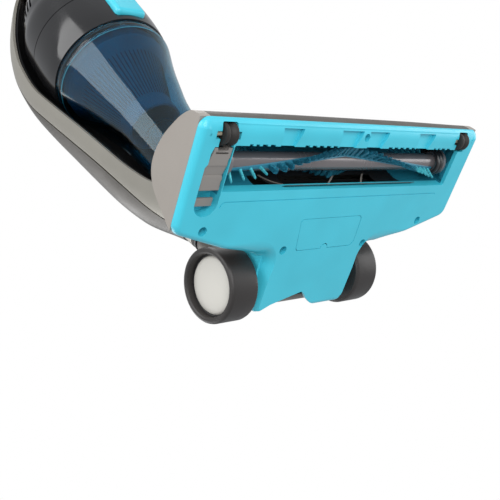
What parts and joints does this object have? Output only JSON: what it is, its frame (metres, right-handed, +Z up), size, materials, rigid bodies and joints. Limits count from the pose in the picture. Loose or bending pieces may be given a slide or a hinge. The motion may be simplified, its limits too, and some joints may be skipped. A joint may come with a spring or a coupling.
{
  "type": "cordless stick vacuum",
  "caption": "Cordless upright stick vacuum with a powered brush head on rollers, a swivelling neck and a lift-out hand unit with a clear dust cup.",
  "frame": {"origin": "on the floor, under the middle of the whole object's box", "axes": "+Z up; -Y is the way the head points; X is the head's width"},
  "size_m": [0.26, 0.271, 1.0391],
  "materials": {
    "cyan": "moulded cyan plastic, satin gloss",
    "warm_grey": "warm grey plastic, fine satin",
    "dark_grey": "dark warm grey plastic, fine texture",
    "black": "black plastic",
    "silver": "champagne silver lacquer on plastic",
    "rubber": "soft black rubber",
    "tyre_rubber": "charcoal soft tyre",
    "hub_white": "pale satin plastic",
    "bristle": "blue nylon bristles",
    "steel": "bright steel",
    "motor_metal": "motor can",
    "brass": "machined brass",
    "spindle": "grey-mauve gloss plastic",
    "clear_blue": "clear blue polycarbonate",
    "gunmetal": "dark gunmetal lacquer",
    "filter_blue": "blue plastic",
    "white": "pleated filter paper",
    "lens": "clear lens",
    "board": "circuit board",
    "cell": "sleeved cells"
  },
  "bodies": {
    "head": {"base_shell": "cyan", "top_cover": "dark_grey", "light_guide": "lens", "end_cap_left": "warm_grey", "end_cap_right": "warm_grey", "access_cover": "cyan", "brush_tunnel": "cyan", "suction_throat": "black", "duct_cover": "warm_grey", "brush_bush": "black", "brush_bearing": "steel", "brush_motor": "steel", "drive_belt": "rubber", "front_roller_left_pin": "steel", "front_roller_right_pin": "steel", "axle_left": "steel", "axle_right": "steel"},
    "latch": {"brush_latch": "warm_grey"},
    "brush": {"brush_spindle": "spindle", "brush_bristles": "bristle", "brush_pulley": "black"},
    "motor_shaft": {"motor_pulley": "brass"},
    "roller_left": {"front_roller_left": "rubber"},
    "roller_right": {"front_roller_right": "rubber"},
    "wheel_left": {"tyre_left": "tyre_rubber", "hub_left": "hub_white"},
    "wheel_right": {"tyre_right": "tyre_rubber", "hub_right": "hub_white"},
    "neck": {"neck": "dark_grey", "swivel_ring": "black"},
    "stick": {"frame_shell": "dark_grey", "frame_rim": "silver", "frame_liner": "black", "air_duct": "black", "charging_socket": "black", "handle_tube": "gunmetal", "handle_grip": "dark_grey", "grip_pad": "rubber"},
    "power_slide": {"power_slide": "cyan"},
    "release_button": {"release_button": "warm_grey"},
    "hand_unit": {"dust_cup": "clear_blue", "cup_collar": "clear_blue", "inlet_pipe": "black", "cyclone_cone": "filter_blue", "inlet_flap": "rubber", "fine_filter": "white", "motor_housing": "gunmetal", "fan_motor": "motor_metal", "battery_pack": "cell", "control_board": "board", "hand_grip": "dark_grey"},
    "fan": {"impeller": "silver"},
    "cup_button": {"cup_release_button": "cyan"},
    "hand_switch": {"hand_switch": "cyan"}
  },
  "joints": [
    {"name": "neck_pitch", "type": "hinge", "parent": "head", "child": "neck", "pos_m": [0, 0.09715, 0.025], "axis": [-1, 0, 0], "range_deg": [0, 80]},
    {"name": "stick_swivel", "type": "hinge", "parent": "neck", "child": "stick", "pos_m": [0, 0.10543, 0.10228], "axis": [0, -0.2588, 0.9659], "range_deg": [-60, 60]},
    {"name": "hand_unit_tilt", "type": "hinge", "parent": "stick", "child": "hand_unit", "pos_m": [0, 0.05838, 0.12332], "axis": [1, 0, 0], "range_deg": [0, 20]},
    {"name": "brush_spin", "type": "hinge", "parent": "head", "child": "brush", "pos_m": [0, 0.00565, 0.0157], "axis": [1, 0, 0], "continuous": true},
    {"name": "motor_spin", "type": "hinge", "parent": "head", "child": "motor_shaft", "pos_m": [0, 0.03015, 0.0149], "axis": [1, 0, 0], "continuous": true},
    {"name": "wheel_left_spin", "type": "hinge", "parent": "head", "child": "wheel_left", "pos_m": [0, 0.09715, 0.025], "axis": [1, 0, 0], "continuous": true},
    {"name": "wheel_right_spin", "type": "hinge", "parent": "head", "child": "wheel_right", "pos_m": [0, 0.09715, 0.025], "axis": [1, 0, 0], "continuous": true},
    {"name": "roller_left_spin", "type": "hinge", "parent": "head", "child": "roller_left", "pos_m": [-0.111, -0.01445, 0.0063], "axis": [1, 0, 0], "continuous": true},
    {"name": "roller_right_spin", "type": "hinge", "parent": "head", "child": "roller_right", "pos_m": [0.111, -0.01445, 0.0063], "axis": [1, 0, 0], "continuous": true},
    {"name": "fan_spin", "type": "hinge", "parent": "hand_unit", "child": "fan", "pos_m": [0, 0.04237, 0.30538], "axis": [0, -0.2588, 0.9659], "continuous": true},
    {"name": "latch_slide", "type": "slide", "parent": "head", "child": "latch", "axis": [0, 1, 0], "range_m": [0, 0.008]},
    {"name": "power_slide_travel", "type": "slide", "parent": "stick", "child": "power_slide", "axis": [0, -0.2588, 0.9659], "range_m": [0, 0.01]},
    {"name": "release_press", "type": "slide", "parent": "stick", "child": "release_button", "axis": [0, -0.9659, -0.2588], "range_m": [0, 0.0018], "stiffness_N_per_m": 500, "springref_m": -0.002},
    {"name": "cup_button_press", "type": "slide", "parent": "hand_unit", "child": "cup_button", "axis": [0, 0.9659, 0.2588], "range_m": [0, 0.003], "stiffness_N_per_m": 500, "springref_m": -0.002},
    {"name": "hand_switch_press", "type": "slide", "parent": "hand_unit", "child": "hand_switch", "axis": [0, 0.2588, -0.9659], "range_m": [0, 0.0015], "stiffness_N_per_m": 500, "springref_m": -0.002}
  ],
  "couplings": [
    {"joint": "motor_spin", "follows": "brush_spin", "ratio": 1.7292}
  ]
}
